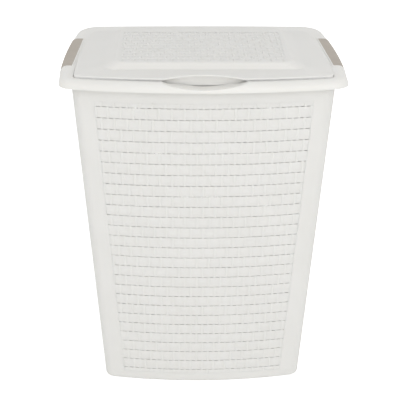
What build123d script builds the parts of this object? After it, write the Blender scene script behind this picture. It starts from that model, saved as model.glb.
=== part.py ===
from build123d import *
import os

# Laundry hamper: a tapered tub with a bowed front, a separate rim frame that plugs into the tub,
# two soft grips let into the frame's sides, and a lid that turns on two pins at the back.
# Millimetres. Origin at the middle of the footprint on the floor, +Z up, front towards -Y.

# Rim frame
rim_front_x = 215.0
rim_middle_x = 221.9
rim_back_x = 212.0
rim_near = -152.0
rim_far = 171.0
rim_front_bow = 24.0
rim_back_bow = 5.0
rim_front_radius = 26.0
rim_back_radius = 41.0
rim_top = 534.0
rim_drop = 13.0
rim_edge_radius = 12.0
frame_wall = 3.0
seat_depth = 4.5
plug_bottom = 508.0
plug_gap = 1.4
plug_wall = 2.0
seam = 0.1
opening_front_x = 184.0
opening_middle_x = 186.0
opening_back_x = 177.0
opening_near = -134.5
opening_far = 99.5
opening_front_bow = 20.0
opening_back_bow = 5.0
opening_corner = 20.0
deck_rib = 3.0
deck_reach = 60.0

# Tub
tub_top = 522.0
tub_top_half_width = 204.0
tub_top_half_depth = 160.7
tub_base_half_width = 169.5
tub_base_half_depth = 155.4
tub_top_front_bow = 22.0
tub_base_front_bow = 16.5
tub_wall = 2.0
tub_floor = 3.0
tub_foot_radius = 5.0
foot_ring_width = 14.0
foot_ring_height = 2.0

# Lid
lid_top = 538.0
lid_wall = 2.2
lid_half_width = 194.8
lid_front = 159.5
lid_front_x = 193.3
lid_back_x = 183.5
lid_side_y = -75.0
lid_front_drop = 17.5
lid_front_corner = 13.0
lid_back_corner = 20.0
lid_edge_radius = 1.8
lid_gap = 1.2
lid_front_gap = 0.5
lid_rest_gap = 0.3
crown_height = 10.0
crown_half_width = 157.0
crown_front = 112.5
crown_back = 108.5
crown_side_run = 22.0
crown_end_run = 4.0
crown_edge_radius = 5.0
skirt_wall = 2.0
skirt_gap = 1.5
skirt_bottom = 526.0

# Finger opening at the front: the frame dips and the lid's lip lifts
mouth_half_width = 64.0
mouth_dip = 8.5
mouth_back = 154.0
mouth_sill = 14.0
lip_half_width = 64.0
lip_rise = 6.8
lip_length = 46.0

# Hinge
hinge_y = 117.0
hinge_z = 535.0
hinge_centres = (-95.0, 95.0)
hinge_back = 3.0
hinge_edge_drop = 4.0
knuckle_radius = 3.6
knuckle_width = 16.0
lug_width = 7.0
side_play = 0.5
swing_gap = 1.1
pin_radius = 1.75
pin_clearance = 0.05
pin_length = 32.0

# Grips
grip_length = 158.0
grip_inner = 200.2
grip_turn = 1.1
grip_depth = 1.4
grip_stands_out = 0.6
grip_fit = 0.05
border_width = 2.0
border_height = 0.8
stud_radius = 2.0
stud_length = 6.0
stud_spacing = 110.0
stud_x = 206.0

seat_floor = rim_top - seat_depth
ledge_under = seat_floor - frame_wall
lid_bottom = seat_floor + lid_rest_gap
lid_back = hinge_y + hinge_back
plate_under = lid_top - lid_wall


def outline(front_x, middle_x, back_x, near, far, front_bow, back_bow, front_radius, back_radius):
    """Closed plan outline in a sketch: four bowed edges with rounded corners."""
    with BuildLine() as edge:
        ThreePointArc((-front_x, near), (0, near - front_bow), (front_x, near))
        ThreePointArc((front_x, near), (middle_x, 0), (back_x, far))
        ThreePointArc((back_x, far), (0, far + back_bow), (-back_x, far))
        ThreePointArc((-back_x, far), (-middle_x, 0), (-front_x, near))
    face = make_face(edge.edges())
    face = fillet(face.vertices().group_by(Axis.Y)[0], front_radius)
    fillet(face.vertices().group_by(Axis.Y)[-1], back_radius)


def rim_outline(grow):
    """Outer lip of the rim frame, grown outwards; it narrows a little towards the back."""
    outline(rim_front_x + grow, rim_middle_x + grow, rim_back_x + grow, rim_near - grow, rim_far + grow,
            rim_front_bow, rim_back_bow, rim_front_radius + grow, rim_back_radius + grow)


def tub_outline(share, inset=0.0):
    """Tub wall at a share of its height, 0 at the floor and 1 at its top edge."""
    half_width = tub_base_half_width + (tub_top_half_width - tub_base_half_width) * share
    half_depth = tub_base_half_depth + (tub_top_half_depth - tub_base_half_depth) * share
    front_bow = tub_base_front_bow + (tub_top_front_bow - tub_base_front_bow) * share
    size = half_width / tub_top_half_width
    side_bow, back_bow, radius = 6 * size, 5 * size, 21 * size - inset
    side_x = half_width - inset - side_bow
    outline(side_x, half_width - inset, side_x, -(half_depth - inset - front_bow),
            half_depth - inset - back_bow, front_bow, back_bow, radius, radius)


def opening_outline(inset=0.0):
    """The frame's mouth; the lid's skirt follows it at a distance."""
    outline(opening_front_x - inset, opening_middle_x - inset, opening_back_x - inset,
            opening_near + inset, opening_far - inset, opening_front_bow, opening_back_bow,
            opening_corner - inset, opening_corner - inset)


def band_outline():
    """Outside of the solid band that carries the seat and covers the tub's top edge."""
    outline(199, 207, 199, -158, 164, 9, 3, 30, 30)


def lid_outline(grow=0.0, ahead=0.0):
    """Edge of the lid: a straight back along the hinge, sides that close in towards it."""
    front_x, front_y = lid_front_x + grow, -(lid_front - lid_front_drop + ahead)
    back_x, back_y = lid_back_x + grow, lid_back + grow
    side_x = lid_half_width + grow
    with BuildLine() as edge:
        ThreePointArc((-front_x, front_y), (0, -lid_front - ahead), (front_x, front_y))
        ThreePointArc((front_x, front_y), (side_x, lid_side_y), (back_x, back_y))
        Line((back_x, back_y), (-back_x, back_y))
        ThreePointArc((-back_x, back_y), (-side_x, lid_side_y), (-front_x, front_y))
    face = make_face(edge.edges())
    face = fillet(face.vertices().group_by(Axis.Y)[0], lid_front_corner + grow)
    fillet(face.vertices().group_by(Axis.Y)[-1], lid_back_corner + grow)


def crown(base, shrink):
    """Raised crown of the lid, as a loft from its foot to its flat top."""
    middle = (crown_back - crown_front) / 2
    width, depth = 2 * (crown_half_width - shrink), crown_front + crown_back - 2 * shrink
    corner = 24 - shrink
    with BuildPart() as form:
        with BuildSketch(Plane.XY.offset(base)):
            with Locations((0, middle)):
                RectangleRounded(width, depth, corner)
        with BuildSketch(Plane.XY.offset(base + crown_height)):
            with Locations((0, middle)):
                RectangleRounded(width - 2 * crown_side_run, depth - 2 * crown_end_run, corner - crown_end_run)
        loft(ruled=True)
        fillet(form.edges().group_by(Axis.Z)[-1], crown_edge_radius - shrink)
    return form.part


def mouth_profile(half_width, level, depth, top):
    """Region above a shallow hanging arc, drawn on an upright plane."""
    with BuildLine() as edge:
        ThreePointArc((-half_width, level), (0, level - depth), (half_width, level))
        Polyline((half_width, level), (half_width, top), (-half_width, top), (-half_width, level))
    make_face(edge.edges())


def lip_form(half_width, level, foot):
    """Lifted lip: a shallow arch at the front edge that sinks into the margin behind it."""
    with BuildPart() as form:
        with BuildSketch(Plane.XZ.offset(lid_front + 4)):
            with BuildLine() as edge:
                ThreePointArc((-half_width, level), (0, level + lip_rise), (half_width, level))
                Polyline((half_width, level), (half_width, foot), (-half_width, foot), (-half_width, level))
            make_face(edge.edges())
        extrude(amount=lip_length, dir=(0, lip_length, -lip_rise))
    return form.part


def rim_form(grow):
    """Rim block with its rounded top edge, grown on every outer face."""
    with BuildPart() as form:
        with BuildSketch(Plane.XY.offset(rim_top - rim_drop)):
            rim_outline(grow)
        extrude(amount=rim_drop + grow)
        fillet(form.edges().group_by(Axis.Z)[-1], rim_edge_radius + grow)
    return form.part


def side_box(side, inner, length):
    """Tall box over one side of the rim, from its inner line outwards, turned to follow the side."""
    reach = 40.0
    box = Box(reach, length, 40, mode=Mode.PRIVATE)
    return Pos(side * (inner + reach / 2), 0, rim_top) * Rot(0, 0, side * grip_turn) * box


def stud_places(side):
    """Middle of each grip stud, on the pocket's floor."""
    level = rim_top - grip_depth
    return [(side * stud_x, y, level) for y in (-stud_spacing / 2, stud_spacing / 2)]


os.makedirs("parts", exist_ok=True)

# Tub: a tapered shell, its foot rounded, with a shallow recess under the floor
with BuildPart() as tub:
    with BuildSketch(Plane.XY):
        tub_outline(0)
    with BuildSketch(Plane.XY.offset(tub_top)):
        tub_outline(1)
    loft(ruled=True)
    fillet(tub.edges().group_by(Axis.Z)[0], tub_foot_radius)
    with BuildSketch(Plane.XY.offset(foot_ring_height + tub_floor)):
        tub_outline(0, tub_wall + 0.4)
    with BuildSketch(Plane.XY.offset(tub_top)):
        tub_outline(1, tub_wall)
    loft(ruled=True, mode=Mode.SUBTRACT)
    with BuildSketch(Plane.XY):
        tub_outline(0, foot_ring_width)
    extrude(amount=foot_ring_height, mode=Mode.SUBTRACT)
tub.part.label = "tub"
export_step(tub.part, "parts/tub.step")

# Space under the rim's top skin: outside the band, and lower where the finger dip is
with BuildPart() as frame_hollow:
    add(rim_form(-frame_wall))
    with BuildSketch(Plane.XY.offset(rim_top - rim_drop - 1)):
        band_outline()
    extrude(amount=rim_drop + 2, mode=Mode.SUBTRACT)
    with BuildSketch(Plane.XZ.offset(mouth_back)):
        mouth_profile(mouth_half_width + 4, rim_top - frame_wall, mouth_dip, rim_top + 4)
    extrude(amount=40, mode=Mode.SUBTRACT)

# Rim frame: rounded lip, raised border round each grip, seat for the lid, plug rib, hinge lugs
with BuildPart() as rim_frame:
    add(rim_form(0))
    for side in (-1, 1):
        add(side_box(side, grip_inner - border_width, grip_length + 2 * border_width)
            & rim_form(border_height))
    add(frame_hollow.part, mode=Mode.SUBTRACT)
    with BuildSketch(Plane.XY.offset(seat_floor)):
        lid_outline(lid_gap, lid_front_gap)
    extrude(amount=seat_depth + 2 * border_height, mode=Mode.SUBTRACT)
    with BuildSketch(Plane.XY.offset(rim_top - rim_drop)):
        band_outline()
    extrude(amount=tub_top + seam - (rim_top - rim_drop), mode=Mode.SUBTRACT)
    with BuildSketch(Plane.XY.offset(plug_bottom)):
        tub_outline(1, tub_wall + plug_gap)
    extrude(amount=ledge_under - plug_bottom)
    with BuildSketch(Plane.XY.offset(plug_bottom)):
        tub_outline(1, tub_wall + plug_gap + plug_wall)
    extrude(amount=ledge_under - plug_bottom, mode=Mode.SUBTRACT)
    with BuildSketch(Plane.XY.offset(ledge_under)):
        tub_outline(1, tub_wall + plug_gap + plug_wall)
        with Locations((0, lid_back + lid_gap + deck_rib)):
            Rectangle(2 * tub_top_half_width, deck_reach, align=(Align.CENTER, Align.MIN), mode=Mode.INTERSECT)
    extrude(amount=rim_top - frame_wall - ledge_under, mode=Mode.SUBTRACT)
    with Locations((0, 2 - mouth_back, tub_top + seam)):
        Box(2 * mouth_half_width, mouth_sill, ledge_under - tub_top - seam,
            align=(Align.CENTER, Align.MAX, Align.MIN))
    with BuildSketch(Plane.XY.offset(plug_bottom)):
        opening_outline()
    extrude(amount=rim_top - plug_bottom, mode=Mode.SUBTRACT)
    with BuildSketch(Plane.XZ.offset(mouth_back)):
        mouth_profile(mouth_half_width, rim_top, mouth_dip, rim_top + 4)
    extrude(amount=40, mode=Mode.SUBTRACT)
    lug_front = hinge_y - knuckle_radius
    for centre in hinge_centres:
        for side in (-1, 1):
            middle = centre + side * (knuckle_width / 2 + side_play + lug_width / 2)
            with Locations((middle, hinge_y, hinge_z)):
                Cylinder(knuckle_radius, lug_width, rotation=(0, 90, 0))
            with Locations((middle, lug_front, seat_floor)):
                Box(lug_width, lid_back + lid_gap + 1 - lug_front, rim_top - seat_floor,
                    align=(Align.CENTER, Align.MIN, Align.MIN))
        with Locations((centre, hinge_y, hinge_z)):
            Cylinder(pin_radius + pin_clearance, 2 * pin_length, rotation=(0, 90, 0), mode=Mode.SUBTRACT)
    for side in (-1, 1):
        add(side_box(side, grip_inner, grip_length) - rim_form(-grip_depth - grip_fit), mode=Mode.SUBTRACT)
        with Locations(*stud_places(side)):
            Cylinder(stud_radius + 0.2, 20, mode=Mode.SUBTRACT)
rim_frame.part.label = "rim_frame"
export_step(rim_frame.part, "parts/rim_frame.step")

# Grips: thin soft skins over the rounded lip, each with two studs through the frame
for side, name in ((-1, "left_grip"), (1, "right_grip")):
    with BuildPart() as grip:
        add(rim_form(grip_stands_out))
        add(rim_form(-grip_depth), mode=Mode.SUBTRACT)
        add(side_box(side, grip_inner + grip_fit, grip_length - 2 * grip_fit), mode=Mode.INTERSECT)
        with Locations(*stud_places(side)):
            Cylinder(stud_radius, stud_length, align=(Align.CENTER, Align.CENTER, Align.MAX))
    grip.part.label = name
    export_step(grip.part, f"parts/{name}.step")

# Lid, outside: flat margin with a rounded edge, and the raised crown
with BuildPart() as lid_form:
    with BuildSketch(Plane.XY.offset(lid_bottom)):
        lid_outline()
    extrude(amount=lid_top - lid_bottom)
    fillet(lid_form.edges().group_by(Axis.Z)[-1], lid_edge_radius)
    add(crown(lid_top, 0))

# Lip lifted over the finger dip, cut back to the lid's edge
with BuildPart() as lip_outer:
    add(lip_form(lip_half_width, lid_top, plate_under))
    with BuildSketch(Plane.XY.offset(lid_bottom)):
        lid_outline()
    extrude(amount=30, mode=Mode.INTERSECT)

# Lid, inside: the same forms a wall thickness lower, and the opening below the lip
with BuildPart() as lid_hollow:
    with BuildSketch(Plane.XY.offset(lid_bottom)):
        lid_outline(-lid_wall)
    extrude(amount=plate_under - lid_bottom)
    add(crown(plate_under, lid_wall))
    add(lip_form(lip_half_width - lid_wall, plate_under, lid_bottom - lip_rise))
    with Locations((0, hinge_y - 8, lid_bottom)):
        Box(2 * lid_half_width, 20, hinge_z - hinge_edge_drop - lid_bottom,
            align=(Align.CENTER, Align.MIN, Align.MIN))

# Lid skirt: a ring that hangs inside the frame's mouth, taller under the lifted lip
with BuildPart() as lip_skirt:
    with BuildSketch(Plane.XY.offset(plate_under)):
        opening_outline(skirt_gap)
    extrude(amount=2 * lip_rise)
    with BuildSketch(Plane.XY.offset(plate_under)):
        opening_outline(skirt_gap + skirt_wall)
    extrude(amount=2 * lip_rise, mode=Mode.SUBTRACT)
    add(lip_outer.part, mode=Mode.INTERSECT)
with BuildPart() as lid_skirt:
    with BuildSketch(Plane.XY.offset(skirt_bottom)):
        opening_outline(skirt_gap)
    extrude(amount=plate_under + 0.5 - skirt_bottom)
    with BuildSketch(Plane.XY.offset(skirt_bottom)):
        opening_outline(skirt_gap + skirt_wall)
    extrude(amount=plate_under + 0.5 - skirt_bottom, mode=Mode.SUBTRACT)

# Lid: the shell with its skirt, notches round the frame's lugs, and a knuckle on each pin
with BuildPart() as lid:
    add(lid_form.part)
    add(lip_outer.part)
    add(lid_hollow.part, mode=Mode.SUBTRACT)
    add(lid_skirt.part)
    add(lip_skirt.part)
    notch = pin_length + 3
    for centre in hinge_centres:
        with Locations((centre, hinge_y - knuckle_radius - swing_gap, skirt_bottom)):
            Box(notch, 20, 20, align=(Align.CENTER, Align.MIN, Align.MIN), mode=Mode.SUBTRACT)
        with Locations((centre, hinge_y, hinge_z)):
            Cylinder(knuckle_radius, knuckle_width, rotation=(0, 90, 0))
        with Locations((centre, hinge_y - knuckle_radius - swing_gap - 1, hinge_z - 1)):
            Box(knuckle_width, knuckle_radius + swing_gap + 1, lid_top - hinge_z + 1,
                align=(Align.CENTER, Align.MIN, Align.MIN))
        with Locations((centre, hinge_y, hinge_z)):
            Cylinder(pin_radius + pin_clearance, 2 * knuckle_width, rotation=(0, 90, 0), mode=Mode.SUBTRACT)
lid.part.label = "lid"
export_step(lid.part, "parts/lid.step")

# Hinge pins
for centre, name in zip(hinge_centres, ("left_hinge_pin", "right_hinge_pin")):
    with BuildPart() as pin:
        with Locations((centre, hinge_y, hinge_z)):
            Cylinder(pin_radius, pin_length, rotation=(0, 90, 0))
        chamfer(pin.edges().filter_by(GeomType.CIRCLE), 0.4)
    pin.part.label = name
    export_step(pin.part, f"parts/{name}.step")
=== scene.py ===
"""Laundry hamper with a hinged lid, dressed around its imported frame.

Sizes are in millimetres and turned to metres where a mesh is made. Front is -Y, up is +Z.
"""
import sys

import logging
import math
from collections.abc import Callable, Iterable
from dataclasses import dataclass, field
from enum import Enum

import bmesh
import bpy
from mathutils import Matrix, Vector


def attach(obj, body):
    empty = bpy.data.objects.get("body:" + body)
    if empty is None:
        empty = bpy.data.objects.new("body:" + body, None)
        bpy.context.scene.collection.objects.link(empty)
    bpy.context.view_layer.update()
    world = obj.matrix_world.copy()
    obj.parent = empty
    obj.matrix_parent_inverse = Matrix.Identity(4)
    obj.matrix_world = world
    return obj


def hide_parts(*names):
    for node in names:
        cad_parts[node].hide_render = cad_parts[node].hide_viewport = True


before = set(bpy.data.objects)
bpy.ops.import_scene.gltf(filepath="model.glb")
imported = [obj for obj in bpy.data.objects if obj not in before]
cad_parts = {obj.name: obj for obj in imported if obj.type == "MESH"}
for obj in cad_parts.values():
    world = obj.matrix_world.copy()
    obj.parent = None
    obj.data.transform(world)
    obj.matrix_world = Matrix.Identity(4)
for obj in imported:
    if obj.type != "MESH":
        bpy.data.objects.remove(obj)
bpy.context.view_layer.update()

MM = 0.001
WELD_MM = 0.01
TINY_MM = 0.01
LOG = logging.getLogger("hamper")

Place = Callable[[float, float, float], Vector]


# ---------------------------------------------------------------- small tools

def linear(hex_colour: str) -> tuple[float, float, float, float]:
    """Turn an sRGB hex colour into linear RGBA.

    Args:
        hex_colour: six hex digits, without a hash.

    Returns:
        Linear red, green, blue and an alpha of 1.
    """
    parts = [int(hex_colour[i:i + 2], 16) / 255 for i in (0, 2, 4)]
    red, green, blue = (p / 12.92 if p <= 0.04045 else ((p + 0.055) / 1.055) ** 2.4 for p in parts)
    return red, green, blue, 1.0


def deselect_all() -> None:
    """Leave object mode with nothing selected."""
    if bpy.context.object and bpy.context.object.mode != "OBJECT":
        bpy.ops.object.mode_set(mode="OBJECT")
    bpy.ops.object.select_all(action="DESELECT")


def only(piece: bpy.types.Object) -> bpy.types.Object:
    """Select one object and make it active."""
    deselect_all()
    piece.select_set(True)
    bpy.context.view_layer.objects.active = piece
    return piece


def edit(piece: bpy.types.Object) -> None:
    """Open one object in edit mode with nothing selected."""
    only(piece)
    bpy.ops.object.mode_set(mode="EDIT")
    bpy.ops.mesh.select_all(action="DESELECT")


def pick_points(piece: bpy.types.Object, test: Callable[[Vector], bool]) -> None:
    """Select the vertices that pass a test, in vertex mode.

    Args:
        piece: the object in edit mode.
        test: takes a vertex place in metres.
    """
    bpy.ops.mesh.select_mode(type="VERT")
    bpy.ops.mesh.select_all(action="DESELECT")
    mesh = bmesh.from_edit_mesh(piece.data)
    for vert in mesh.verts:
        vert.select_set(test(vert.co))
    mesh.select_flush(True)
    bmesh.update_edit_mesh(piece.data)


def pick_faces(piece: bpy.types.Object, test: Callable[[bmesh.types.BMFace], bool]) -> None:
    """Select the faces that pass a test, in face mode.

    Args:
        piece: the object in edit mode.
        test: takes a face.
    """
    bpy.ops.mesh.select_mode(type="FACE")
    bpy.ops.mesh.select_all(action="DESELECT")
    mesh = bmesh.from_edit_mesh(piece.data)
    for face in [face for face in mesh.faces if test(face)]:
        face.select_set(True)
    bmesh.update_edit_mesh(piece.data)


def cut(across: Iterable[float], axis: int) -> None:
    """Bisect everything in edit mode at several places along one axis.

    Args:
        across: places in millimetres.
        axis: 0 for X, 1 for Y, 2 for Z.
    """
    normal = [0.0, 0.0, 0.0]
    normal[axis] = 1.0
    for place in across:
        point = [0.0, 0.0, 0.0]
        point[axis] = place * MM
        bpy.ops.mesh.select_all(action="SELECT")
        bpy.ops.mesh.bisect(plane_co=point, plane_no=normal)


def trim(point: tuple[float, float], outward: tuple[float, float]) -> None:
    """Cut off what lies beyond an upright plane, in edit mode.

    Args:
        point: a place on the plane, X and Y in millimetres.
        outward: direction of the side that goes.
    """
    bpy.ops.mesh.select_all(action="SELECT")
    bpy.ops.mesh.bisect(plane_co=(point[0] * MM, point[1] * MM, 0), plane_no=(*outward, 0.0),
                        clear_outer=True)


def modify(piece: bpy.types.Object, kind: str, **settings: object) -> None:
    """Add a modifier with its settings and apply it.

    Args:
        piece: the object.
        kind: the modifier's type.
        settings: its properties.
    """
    only(piece)
    modifier = piece.modifiers.new(kind.title(), kind)
    for name, value in settings.items():
        setattr(modifier, name, value)
    bpy.ops.object.modifier_apply(modifier=modifier.name)


def smooth(piece: bpy.types.Object, degrees: float = 35.0) -> None:
    """Shade smooth, with edges sharper than an angle kept crisp."""
    only(piece)
    bpy.ops.object.shade_smooth_by_angle(angle=math.radians(degrees))


def wrapped_grid(name: str, columns: int, rows: int, place: Callable[[int, int], Vector]) -> bpy.types.Object:
    """Add a grid and lay each of its crossings where a function says.

    Args:
        name: the object's name.
        columns: spaces between crossings along the first direction.
        rows: spaces along the second.
        place: takes the two counts of a crossing and gives its place in millimetres.

    Returns:
        The grid, in object mode.
    """
    deselect_all()
    bpy.ops.mesh.primitive_grid_add(x_subdivisions=columns, y_subdivisions=rows, size=1.0)
    piece = bpy.context.object
    piece.name = piece.data.name = name
    for vert in piece.data.vertices:
        i, j = round((vert.co.x + 0.5) * columns), round((vert.co.y + 0.5) * rows)
        vert.co = place(i, j) * MM
    return piece


def lay(piece: bpy.types.Object, place: Place) -> None:
    """Carry a flat piece onto a surface.

    Args:
        piece: a mesh drawn flat, with Z as its height.
        place: takes the flat place in millimetres and gives the real one.
    """
    for vert in piece.data.vertices:
        vert.co = place(vert.co.x / MM, vert.co.y / MM, vert.co.z / MM) * MM
    piece.data.update()


# ------------------------------------------------------------------ materials

def put(tree: bpy.types.NodeTree, kind: str, feeds: dict[str, bpy.types.NodeSocket] | None = None,
        inputs: dict[str, object] | None = None, **settings: object) -> bpy.types.Node:
    """Add a node with its settings, input values and links.

    Args:
        tree: the node tree.
        kind: the node's type name.
        feeds: sockets that feed its inputs, by input name.
        inputs: values set on its inputs, by input name.
        settings: the node's own properties.

    Returns:
        The node.
    """
    node = tree.nodes.new(kind)
    for name, value in settings.items():
        setattr(node, name, value)
    for name, value in (inputs or {}).items():
        node.inputs[name].default_value = value
    for name, socket in (feeds or {}).items():
        tree.links.new(socket, node.inputs[name])
    return node


@dataclass(frozen=True)
class MouldedFinish:
    """Injection-moulded plastic: two near tints that drift, and the grain its mould was etched with."""

    name: str
    tint: str
    shade: str
    roughness: float
    grain_mm: float
    grain_depth_mm: float
    drift_mm: float = 60.0
    ior: float = 1.49
    glow: float = 0.0
    glow_mm: float = 3.0

    def make(self) -> bpy.types.Material:
        """Build the material, or give it back if it is there already."""
        known = bpy.data.materials.get(self.name)
        if known:
            return known
        material = bpy.data.materials.new(self.name)
        material.use_nodes = True
        tree = material.node_tree
        shader = tree.nodes["Principled BSDF"]
        shader.inputs["IOR"].default_value = self.ior
        shader.inputs["Subsurface Weight"].default_value = self.glow
        shader.inputs["Subsurface Scale"].default_value = self.glow_mm * MM
        shader.inputs["Subsurface Radius"].default_value = (1.0, 0.97, 0.92)
        where = put(tree, "ShaderNodeTexCoord").outputs["Object"]
        drift = put(tree, "ShaderNodeTexNoise", {"Vector": where},
                    {"Scale": 1 / (self.drift_mm * MM), "Detail": 3.0, "Roughness": 0.5})
        colour = put(tree, "ShaderNodeMix", {"Factor": drift.outputs["Fac"]}, data_type="RGBA")
        colour.inputs[6].default_value = linear(self.shade)
        colour.inputs[7].default_value = linear(self.tint)
        tree.links.new(colour.outputs[2], shader.inputs["Base Color"])
        grain = put(tree, "ShaderNodeTexNoise", {"Vector": where},
                    {"Scale": 1 / (self.grain_mm * MM), "Detail": 2.0, "Roughness": 0.6})
        gloss = put(tree, "ShaderNodeMapRange", {"Value": grain.outputs["Fac"]},
                    {"To Min": self.roughness - 0.05, "To Max": self.roughness + 0.07})
        tree.links.new(gloss.outputs["Result"], shader.inputs["Roughness"])
        bump = put(tree, "ShaderNodeBump", {"Height": grain.outputs["Fac"]},
                   {"Distance": self.grain_depth_mm * MM, "Strength": 0.6})
        tree.links.new(bump.outputs["Normal"], shader.inputs["Normal"])
        return material

    def dress(self, piece: bpy.types.Object) -> None:
        """Put the finish on a piece, or on each slot of a carried-over node."""
        material = self.make()
        if not piece.material_slots:
            piece.data.materials.append(material)
        for slot in piece.material_slots:
            slot.material = material


# Polypropylene, moulded in a lightly etched mould: off-white, satin, a little light goes through it.
WALL_PLASTIC = MouldedFinish("polypropylene_wall", "E9E8E5", "E4E3DF", 0.48, 0.9, 0.03, glow=0.5)
# The same plastic in a polished mould: the lip that hands touch, smoother; its tint is set a little brighter
# than the wall's as painted light, standing for the extra light its upright band catches.
RIM_PLASTIC = MouldedFinish("polypropylene_rim", "ECEBE8", "E7E6E2", 0.36, 0.7, 0.02, glow=0.5)
# The lid's plastic has an even, fine spark-eroded grain that takes the gloss down.
LID_PLASTIC = MouldedFinish("polypropylene_lid", "E9E8E5", "E5E4E0", 0.45, 0.8, 0.03, glow=0.5)
# Thermoplastic elastomer: greige, rubbery and matt, with a coarser grain for the hand.
GRIP_RUBBER = MouldedFinish("elastomer_grip", "BDB5AB", "B3ABA1", 0.72, 1.1, 0.06, drift_mm=25.0, ior=1.5)
# Acetal: white, dense and slick, as pins that turn in plastic are.
PIN_PLASTIC = MouldedFinish("acetal_pin", "ECEBE6", "E6E5E0", 0.25, 0.6, 0.01, drift_mm=8.0)


# ------------------------------------------------------------------ tub shape

@dataclass(frozen=True)
class Arc:
    """Part of a circle in plan."""

    x: float
    y: float
    radius: float


class Side(Enum):
    """The tub's four walls."""

    FRONT = "front"
    RIGHT = "right"
    BACK = "back"
    LEFT = "left"


@dataclass(frozen=True)
class TubSize:
    """Sizes of the tub's outside, from its foot to its top edge."""

    top: float = 522.0
    top_half_width: float = 204.0
    top_half_depth: float = 160.7
    base_half_width: float = 169.5
    base_half_depth: float = 155.4
    side_bow: float = 6.0
    top_front_bow: float = 22.0
    base_front_bow: float = 16.5
    back_bow: float = 5.0
    corner: float = 21.0
    wall: float = 2.0
    foot_radius: float = 5.0
    foot_ring: float = 14.0
    foot_height: float = 2.0

    def section(self, z: float, inset: float = 0.0) -> "Section":
        """Outline at one height, drawn in by an inset."""
        share = z / self.top
        half_width = self.base_half_width + (self.top_half_width - self.base_half_width) * share
        half_depth = self.base_half_depth + (self.top_half_depth - self.base_half_depth) * share
        size = half_width / self.top_half_width
        front_bow = self.base_front_bow + (self.top_front_bow - self.base_front_bow) * share
        return Section(half_width - inset, half_depth - inset, self.side_bow * size, front_bow,
                       self.back_bow * size, self.corner * size - inset)


class Section:
    """Plan outline of the tub at one height: four bowed walls and four round corners."""

    def __init__(self, width: float, depth: float, side_bow: float, front_bow: float, back_bow: float,
                 corner: float) -> None:
        """Work out the arcs.

        Args:
            width: half the width.
            depth: half the depth.
            side_bow: how far a side bulges.
            front_bow: how far the front bulges.
            back_bow: how far the back bulges.
            corner: corner radius.
        """
        across = width - side_bow
        near, far = -(depth - front_bow), depth - back_bow
        self.width, self.near, self.far, self.corner = width, near, far, corner
        radius = (across ** 2 + front_bow ** 2) / (2 * front_bow)
        self.front = Arc(0.0, -depth + radius, radius)
        radius = (across ** 2 + back_bow ** 2) / (2 * back_bow)
        self.back = Arc(0.0, depth - radius, radius)
        middle, reach = (near + far) / 2, (far - near) / 2
        x = (width ** 2 + middle ** 2 - across ** 2 - reach ** 2) / (2 * (width - across))
        self.right = Arc(x, middle, math.hypot(width - x, middle))

    def front_y(self, x: float) -> float:
        """Depth of the front wall at a place across it."""
        return self.front.y - math.sqrt(self.front.radius ** 2 - x ** 2)

    def back_y(self, x: float) -> float:
        """Depth of the back wall at a place across it."""
        return self.back.y + math.sqrt(self.back.radius ** 2 - x ** 2)

    def side_x(self, y: float) -> float:
        """How far out the right wall is at a depth."""
        return self.right.x + math.sqrt(self.right.radius ** 2 - (y - self.right.y) ** 2)

    def corner_points(self, end: Arc, count: int) -> list[tuple[float, float]]:
        """Points round a right-hand corner, from the front or back wall to the side.

        Args:
            end: the front or back arc.
            count: number of steps.

        Returns:
            Places in plan, X and Y.
        """
        side = self.right
        first, second = end.radius - self.corner, side.radius - self.corner
        gap = Vector((side.x - end.x, side.y - end.y))
        along = (first ** 2 - second ** 2 + gap.length ** 2) / (2 * gap.length)
        off = math.sqrt(max(first ** 2 - along ** 2, 0.0))
        unit = gap.normalized()
        turn = 1 if end is self.front else -1
        middle = Vector((end.x, end.y)) + unit * along + Vector((-unit.y, unit.x)) * off * turn
        start = math.atan2(middle.y - end.y, middle.x - end.x)
        stop = math.atan2(middle.y - side.y, middle.x - side.x)
        return [(middle.x + self.corner * math.cos(start + (stop - start) * k / count),
                 middle.y + self.corner * math.sin(start + (stop - start) * k / count))
                for k in range(count + 1)]


# ---------------------------------------------------------------------- weave

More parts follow.
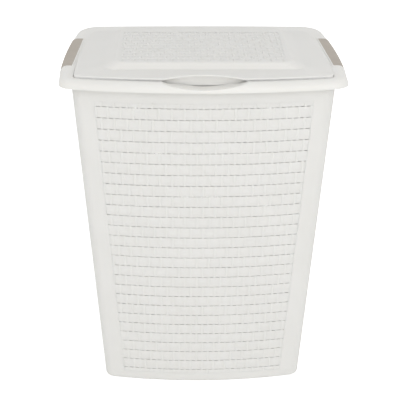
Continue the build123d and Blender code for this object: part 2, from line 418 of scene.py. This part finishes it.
@dataclass(frozen=True)
class Weave:
    """Moulded plain weave: flat strips across, with every second stake passing over them.

    The slits lie between strips, one between each two stakes. The unit that repeats is two
    columns by two rows.
    """

    column: float = 9.57
    row: float = 17.97
    stake: float = 1.4
    groove: float = 1.9
    strip: float = 2.7
    slit: float = 0.34
    edge: float = 1.9
    stake_height: float = 0.32
    stake_dip: float = -0.05
    groove_depth: float = 0.22
    edge_drop: float = 0.6
    wall: float = 1.8

    def height(self, u: float, v: float) -> float:
        """Height of the surface at one crossing of the unit's cutting lines.

        Args:
            u: place across the unit.
            v: place up the unit.

        Returns:
            Height over the strips' face.
        """
        stake = round(u / self.column)
        off = abs(u - stake * self.column)
        band = int(v // self.row)
        from_slit = abs(v - round(v / self.row) * self.row)
        if from_slit < TINY_MM:
            return (self.stake_dip - self.edge_drop) / 2 if off < self.strip - TINY_MM else -self.edge_drop
        at_edge = from_slit < self.edge - TINY_MM
        over = (stake + band) % 2 == 0
        if over and off < self.groove - TINY_MM:
            return self.stake_dip if at_edge else self.stake_height
        if over and off < self.strip - TINY_MM and not at_edge:
            return -self.groove_depth
        return -self.edge_drop if at_edge else 0.0

    def in_slit(self, u: float, v: float) -> bool:
        """Whether a place in the unit is in a slit."""
        off = abs(u - round(u / self.column) * self.column)
        return off > self.groove and abs(v - round(v / self.row) * self.row) < self.slit

    def unit(self, name: str) -> bpy.types.Object:
        """Model the part that repeats, flat, with its corner at the origin."""
        deselect_all()
        wide, tall = 2 * self.column, 2 * self.row
        bpy.ops.mesh.primitive_plane_add(size=1.0)
        piece = bpy.context.object
        piece.name = piece.data.name = name
        edit(piece)
        bpy.ops.mesh.select_all(action="SELECT")
        bpy.ops.transform.resize(value=(wide * MM, tall * MM, 1.0))
        bpy.ops.transform.translate(value=(wide / 2 * MM, tall / 2 * MM, 0.0))
        offsets = (-self.strip, -self.groove, -self.stake, self.stake, self.groove, self.strip)
        cut([c for k in range(3) for c in (k * self.column + o for o in offsets) if 0 < c < wide], 0)
        offsets = (-self.edge, -self.slit, self.slit, self.edge)
        cut([c for k in range(3) for c in (k * self.row + o for o in offsets) if 0 < c < tall], 1)
        pick_faces(piece, lambda face: self.in_slit(*(face.calc_center_median().xy / MM)))
        bpy.ops.mesh.delete(type="FACE")
        levels = sorted({round(self.height(*(v.co.xy / MM)), 3)
                         for v in bmesh.from_edit_mesh(piece.data).verts} - {0.0})
        for level in levels:
            pick_points(piece, lambda co: abs(co.z) < 1e-9 and abs(self.height(*(co.xy / MM)) - level) < 1e-3)
            bpy.ops.transform.translate(value=(0.0, 0.0, level * MM))
        bpy.ops.object.mode_set(mode="OBJECT")
        return piece

    def sheet(self, name: str, columns: int, rows: int, u: float, v: float) -> bpy.types.Object:
        """Repeat the unit into a flat sheet.

        Args:
            name: the object's name.
            columns: units across.
            rows: units up.
            u: where the sheet's left edge goes.
            v: where its lower edge goes.

        Returns:
            The sheet, still without thickness.
        """
        piece = self.unit(name)
        for count, offset in ((columns, (2 * self.column * MM, 0, 0)), (rows, (0, 2 * self.row * MM, 0))):
            modify(piece, "ARRAY", count=count, use_relative_offset=False, use_constant_offset=True,
                   constant_offset_displace=offset, use_merge_vertices=True, merge_threshold=0.02 * MM)
        edit(piece)
        bpy.ops.mesh.select_all(action="SELECT")
        bpy.ops.transform.translate(value=(u * MM, v * MM, 0.0))
        bpy.ops.object.mode_set(mode="OBJECT")
        return piece


# ------------------------------------------------------------------------ tub

@dataclass
class Tub:
    """The woven tub: a shell with a window in each wall, and a woven panel in each window."""

    size: TubSize = field(default_factory=TubSize)
    weave: Weave = field(default_factory=Weave)
    first_row: float = 491.4
    window_top: float = 498.8
    window_bottom: float = 17.5
    front_margin: float = 38.5
    side_margin: float = 38.0
    panel_drop: float = 0.3
    tuck: float = 1.4
    stake_phase: float = -0.65
    margin_steps: int = 4
    corner_steps: int = 8
    window_steps: int = 14
    window_levels: int = 12
    foot_steps: int = 5
    foot_slope: float = 1.5
    band: float = 510.0
    edge_round: float = 0.35
    pieces: list[bpy.types.Object] = field(default_factory=list)

    def borders(self, side: Side, z: float) -> tuple[float, float]:
        """Left and right border of a wall's window at a height, seen from outside."""
        section = self.size.section(z)
        half = section.width - self.front_margin
        if side in (Side.FRONT, Side.BACK):
            return -half, half
        near, far = section.near + self.side_margin, section.far - self.side_margin
        return (near, far) if side is Side.RIGHT else (-far, -near)

    def wall_point(self, side: Side, u: float, z: float) -> Vector:
        """Place on a wall's outer face.

        Args:
            side: the wall.
            u: place across it, to the right seen from outside.
            z: height.

        Returns:
            The place in millimetres.
        """
        section = self.size.section(z)
        if side is Side.FRONT:
            return Vector((u, section.front_y(u), z))
        if side is Side.BACK:
            return Vector((-u, section.back_y(-u), z))
        if side is Side.RIGHT:
            return Vector((section.side_x(u), u, z))
        return Vector((-section.side_x(-u), -u, z))

    def on_wall(self, side: Side) -> Place:
        """Function that carries a flat sheet onto a wall, its V measured from the first slit row."""
        def place(u: float, v: float, w: float) -> Vector:
            """Carry one place."""
            step = 2.0
            low, high = self.wall_point(side, u, 0.0), self.wall_point(side, u, self.size.top)
            z = self.first_row + v * self.size.top / (high - low).length
            point = self.wall_point(side, u, z)
            across = self.wall_point(side, u + step, z) - self.wall_point(side, u - step, z)
            outward = across.cross(high - low).normalized()
            return point + outward * (w - self.panel_drop)
        return place

    def panel(self, side: Side) -> bpy.types.Object:
        """Build the woven panel of one wall."""
        weave = self.weave
        low_left, low_right = self.borders(side, self.window_bottom)
        top_left, top_right = self.borders(side, self.window_top)
        start = 2 * math.floor((min(low_left, top_left) - self.tuck) / weave.column / 2) * weave.column
        columns = math.ceil((max(low_right, top_right) + self.tuck - start + 1) / weave.column / 2)
        rise = self.first_row - self.window_bottom
        rows = math.ceil((rise + 2 * weave.row) / weave.row / 2) + 1
        bottom = weave.row * 2 - 2 * rows * weave.row
        piece = weave.sheet(f"woven_{side.value}", columns, rows, start + self.stake_phase, bottom)
        edit(piece)
        tall = self.window_top - self.window_bottom
        trim((0.0, self.window_top - self.first_row + self.tuck), (0.0, 1.0))
        trim((0.0, -rise - self.tuck), (0.0, -1.0))
        for low, top, way in ((low_left, top_left, -1), (low_right, top_right, 1)):
            lean = Vector((tall, low - top)).normalized() * way
            trim((low + way * self.tuck, -rise), (lean.x, lean.y))
        bpy.ops.object.mode_set(mode="OBJECT")
        lay(piece, self.on_wall(side))
        modify(piece, "SOLIDIFY", thickness=weave.wall * MM, offset=-1.0)
        smooth(piece, 40.0)
        return piece

    def ring(self, z: float, inset: float = 0.0) -> list[Vector]:
        """Points round the tub at one height, anticlockwise from the front window's left border."""
        section = self.size.section(z, inset)
        level = min(max(z, self.window_bottom), self.window_top)
        half = self.borders(Side.FRONT, level)[1] - inset
        near, far = self.borders(Side.RIGHT, level)
        right = [(x, section.front_y(x)) for x in self.steps(0.0, half, self.window_steps // 2)]
        front_corner = section.corner_points(section.front, self.corner_steps)
        back_corner = section.corner_points(section.back, self.corner_steps)[::-1]
        margin, window = self.margin_steps, self.window_steps
        right += [(x, section.front_y(x)) for x in self.steps(half, front_corner[0][0], margin)[1:]]
        right += front_corner[1:]
        for start, stop, count in ((front_corner[-1][1], near, margin), (near, far, window),
                                   (far, back_corner[0][1], margin)):
            right += [(section.side_x(y), y) for y in self.steps(start, stop, count)[1:]]
        right += back_corner[1:]
        for start, stop, count in ((back_corner[-1][0], half, margin), (half, 0.0, window // 2)):
            right += [(x, section.back_y(x)) for x in self.steps(start, stop, count)[1:]]
        left = [(-x, y) for x, y in right[-2::-1]]
        return [Vector((x, y, z)) for x, y in right + left]

    @staticmethod
    def steps(start: float, stop: float, count: int) -> list[float]:
        """Evenly spaced values, both ends included."""
        return [start + (stop - start) * k / count for k in range(count + 1)]

    def in_window(self, centre: Vector) -> bool:
        """Whether a shell face lies in one of the windows."""
        if not self.window_bottom < centre.z < self.window_top:
            return False
        half = self.borders(Side.FRONT, centre.z)[1]
        near, far = self.borders(Side.RIGHT, centre.z)
        return abs(centre.x) < half if not near < centre.y < far else abs(centre.x) > half

    def shell(self) -> bpy.types.Object:
        """Build the smooth part: foot, floor, corner margins and the bands over and under the windows."""
        size = self.size
        radius = size.foot_radius
        levels = [(size.foot_height, size.foot_ring + self.foot_slope), (0.0, size.foot_ring), (0.0, radius)]
        for k in range(1, self.foot_steps + 1):
            turn = math.pi / 2 * k / self.foot_steps
            levels.append((radius * (1 - math.cos(turn)), radius * (1 - math.sin(turn))))
        levels += [(z, 0.0) for z in self.steps(self.window_bottom, self.window_top, self.window_levels)]
        levels += [(self.band, 0.0), (size.top, 0.0)]
        rings = [self.ring(z, inset) for z, inset in levels]
        around = len(rings[0]) - 1
        piece = wrapped_grid("tub_shell", around, len(rings) - 1, lambda i, j: rings[j][i])
        edit(piece)
        bpy.ops.mesh.select_all(action="SELECT")
        bpy.ops.mesh.remove_doubles(threshold=WELD_MM * MM)
        pick_faces(piece, lambda face: self.in_window(face.calc_center_median() / MM))
        bpy.ops.mesh.delete(type="FACE")
        inner = size.foot_height * MM
        pick_points(piece, lambda co: abs(co.z - inner) < 1e-6)
        bpy.ops.mesh.edge_face_add()
        bpy.ops.mesh.select_all(action="SELECT")
        bpy.ops.mesh.normals_make_consistent(inside=False)
        bpy.ops.object.mode_set(mode="OBJECT")
        modify(piece, "SOLIDIFY", thickness=size.wall * MM, offset=-1.0)
        modify(piece, "BEVEL", width=self.edge_round * MM, segments=2, limit_method="ANGLE",
               angle_limit=math.radians(60))
        smooth(piece)
        return piece

    def build(self) -> list[bpy.types.Object]:
        """Build and dress the whole tub."""
        self.pieces = [self.shell()] + [self.panel(side) for side in Side]
        for piece in self.pieces:
            WALL_PLASTIC.dress(piece)
            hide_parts("tub")
            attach(piece, "hamper")
        return self.pieces


# ------------------------------------------------------------------------ lid

@dataclass
class Lid:
    """The lid: its moulded shell with a window in the crown, and the woven panel in it."""

    weave: Weave = field(default_factory=lambda: Weave(
        row=15.7, slit=0.26, stake_height=0.9, groove_depth=0.5, edge_drop=0.8))
    top: float = 548.0
    wall: float = 2.2
    front_half_width: float = 124.5
    back_half_width: float = 130.0
    front: float = -101.5
    back: float = 70.0
    last_row: float = 69.0
    panel_drop: float = 0.3
    tuck: float = 1.0
    stake_phase: float = -0.65
    columns: int = 14
    rows: int = 7
    pieces: list[bpy.types.Object] = field(default_factory=list)

    def border(self, way: int) -> tuple[tuple[float, float], tuple[float, float]]:
        """Side border of the window: its front end, and the direction square to it.

        Args:
            way: 1 for the right border, -1 for the left.

        Returns:
            The front end in millimetres, and the outward direction.
        """
        spread = self.back_half_width - self.front_half_width
        lean = Vector((self.back - self.front, -spread)).normalized()
        return (way * self.front_half_width, self.front), (way * lean.x, lean.y)

    def shell(self) -> bpy.types.Object:
        """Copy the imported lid, join its loose triangles and cut the window out of its crown."""
        deselect_all()
        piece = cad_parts["lid"].copy()
        piece.data = piece.data.copy()
        piece.name = piece.data.name = "lid_shell"
        for key in [key for key in piece.keys() if key.startswith("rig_")]:
            del piece[key]
        bpy.context.collection.objects.link(piece)
        edit(piece)
        bpy.ops.mesh.select_all(action="SELECT")
        bpy.ops.mesh.remove_doubles(threshold=0.002 * MM)
        bpy.ops.mesh.select_all(action="SELECT")
        bpy.ops.mesh.customdata_custom_splitnormals_clear()
        under = self.top - self.wall
        off_level = 2 * TINY_MM

        def level(face: bmesh.types.BMFace) -> bool:
            """Whether a face lies in the crown's top or its underside."""
            heights = [vert.co.z / MM for vert in face.verts]
            return any(all(abs(h - z) < off_level for h in heights) for z in (self.top, under))

        for point, normal in (self.border(-1), self.border(1), ((0, self.front), (0, 1)),
                              ((0, self.back), (0, 1))):
            pick_faces(piece, level)
            bpy.ops.mesh.bisect(plane_co=(point[0] * MM, point[1] * MM, 0), plane_no=(*normal, 0))

        def inside(face: bmesh.types.BMFace) -> bool:
            """Whether a level face lies in the window."""
            centre = face.calc_center_median() / MM
            share = (centre.y - self.front) / (self.back - self.front)
            half = self.front_half_width + (self.back_half_width - self.front_half_width) * share
            return level(face) and abs(centre.x) < half and 0 < share < 1

        pick_faces(piece, inside)
        bpy.ops.mesh.delete(type="FACE")
        bpy.ops.mesh.select_mode(type="EDGE")
        bpy.ops.mesh.select_all(action="DESELECT")
        mesh = bmesh.from_edit_mesh(piece.data)
        for edge in mesh.edges:
            if edge.is_boundary and edge.verts[0].co.z > (under - 1) * MM:
                edge.select_set(True)
        bmesh.update_edit_mesh(piece.data)
        bpy.ops.mesh.bridge_edge_loops()
        bpy.ops.object.mode_set(mode="OBJECT")
        smooth(piece, 30.0)
        return piece

    def panel(self) -> bpy.types.Object:
        """Build the woven panel that fills the window."""
        weave = self.weave
        start = -self.columns * weave.column + self.stake_phase
        bottom = self.last_row - 2 * (self.rows - 1) * weave.row
        piece = weave.sheet("woven_lid", self.columns, self.rows, start, bottom)
        edit(piece)
        for way in (-1, 1):
            (x, y), outward = self.border(way)
            trim((x + way * self.tuck, y), outward)
        trim((0.0, self.front - self.tuck), (0.0, -1.0))
        trim((0.0, self.back + self.tuck), (0.0, 1.0))
        bpy.ops.object.mode_set(mode="OBJECT")
        lay(piece, lambda u, v, w: Vector((u, v, self.top - self.panel_drop + w)))
        modify(piece, "SOLIDIFY", thickness=weave.wall * MM, offset=-1.0)
        smooth(piece, 40.0)
        return piece

    def build(self) -> list[bpy.types.Object]:
        """Build and dress the lid."""
        self.pieces = [self.shell(), self.panel()]
        for piece in self.pieces:
            piece.parent = None
            LID_PLASTIC.dress(piece)
            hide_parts("lid")
            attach(piece, "lid")
        return self.pieces


# -------------------------------------------------------------- carried nodes

@dataclass
class Fittings:
    """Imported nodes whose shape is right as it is: the rim frame, its grips and the hinge pins."""

    def build(self) -> list[bpy.types.Object]:
        """Dress them."""
        finishes = {"rim_frame": RIM_PLASTIC, "left_grip": GRIP_RUBBER, "right_grip": GRIP_RUBBER,
                    "left_hinge_pin": PIN_PLASTIC, "right_hinge_pin": PIN_PLASTIC}
        for name, finish in finishes.items():
            finish.dress(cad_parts[name])
        return [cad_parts[name] for name in finishes]


# --------------------------------------------------------------------- studio

@dataclass(frozen=True)
class SoftBox:
    """A large soft light, aimed at a place."""

    name: str
    place: tuple[float, float, float]
    aim: tuple[float, float, float]
    size: float
    power: float

    def build(self) -> None:
        """Add the light."""
        deselect_all()
        bpy.ops.object.light_add(type="AREA", location=[c * MM for c in self.place])
        light = bpy.context.object
        light.name = self.name
        light.data.shape = "SQUARE"
        light.data.size = self.size * MM
        light.data.energy = self.power
        away = Vector(self.place) - Vector(self.aim)
        light.rotation_euler = away.to_track_quat("Z", "Y").to_euler()


@dataclass(frozen=True)
class Studio:
    """White sweep, soft light and the camera."""

    camera_place: tuple[float, float, float] = (-35.8, -1472.5, 950.1)
    pitch: float = 24.98
    yaw: float = 1.52
    roll: float = 0.40
    lens: float = 82.8
    sensor: float = 36.0
    lights: tuple[SoftBox, ...] = (
        SoftBox("key_light", (900, -2300, 1500), (0, 0, 280), 1800, 15.0),
        SoftBox("fill_light", (-1500, -1700, 1100), (0, 0, 280), 1600, 4.0),
    )

    def sweep(self) -> None:
        """Add the pale floor."""
        deselect_all()
        bpy.ops.mesh.primitive_plane_add(size=40.0, location=(0, 0, 0))
        floor = bpy.context.object
        floor.name = "floor"
        material = bpy.data.materials.new("painted_sweep")
        material.use_nodes = True
        shader = material.node_tree.nodes["Principled BSDF"]
        shader.inputs["Base Color"].default_value = linear("F4F4F3")
        shader.inputs["Roughness"].default_value = 0.9
        shader.inputs["Emission Color"].default_value = (1, 1, 1, 1)
        seen = put(material.node_tree, "ShaderNodeLightPath").outputs["Is Camera Ray"]
        lift = put(material.node_tree, "ShaderNodeMath", inputs={1: 0.6}, operation="MULTIPLY")
        material.node_tree.links.new(seen, lift.inputs[0])
        material.node_tree.links.new(lift.outputs[0], shader.inputs["Emission Strength"])
        floor.data.materials.append(material)

    def daylight(self) -> None:
        """Make the surround: plain white to look at, a little dimmer as a light."""
        world = bpy.data.worlds.new("white_surround")
        bpy.context.scene.world = world
        world.use_nodes = True
        tree = world.node_tree
        shader = tree.nodes["Background"]
        seen = put(tree, "ShaderNodeLightPath").outputs["Is Camera Ray"]
        strength = put(tree, "ShaderNodeMapRange", {"Value": seen}, {"To Min": 0.80, "To Max": 1.1})
        tree.links.new(strength.outputs["Result"], shader.inputs["Strength"])
        shader.inputs["Color"].default_value = (1, 1, 1, 1)

    def camera(self) -> None:
        """Add the camera at its place, tilt and lens."""
        pitch, yaw, roll = (math.radians(a) for a in (self.pitch, self.yaw, self.roll))
        ahead = Vector((math.sin(yaw) * math.cos(pitch), math.cos(yaw) * math.cos(pitch), -math.sin(pitch)))
        right = Vector((math.cos(yaw), -math.sin(yaw), 0.0))
        up = right.cross(ahead)
        across = right * math.cos(roll) + up * math.sin(roll)
        upward = up * math.cos(roll) - right * math.sin(roll)
        deselect_all()
        bpy.ops.object.camera_add()
        camera = bpy.context.object
        camera.name = "camera"
        turn = Matrix((across, upward, -ahead)).transposed().to_4x4()
        camera.matrix_world = Matrix.Translation(Vector(self.camera_place) * MM) @ turn
        camera.data.sensor_width = self.sensor
        camera.data.lens = self.lens
        bpy.context.scene.camera = camera

    def build(self) -> None:
        """Set the whole studio up."""
        self.sweep()
        self.daylight()
        for light in self.lights:
            light.build()
        self.camera()
        bpy.context.scene.view_settings.view_transform = "Standard"


def main() -> None:
    """Build the hamper and its studio, and report each piece."""
    logging.basicConfig(level=logging.INFO, format="%(message)s", stream=sys.stdout)
    Studio().build()
    for assembly in (Tub(), Lid(), Fittings()):
        for piece in assembly.build():
            LOG.info("%s: %d faces", piece.name, len(piece.data.polygons))
    deselect_all()


if __name__ == "__main__":
    main()
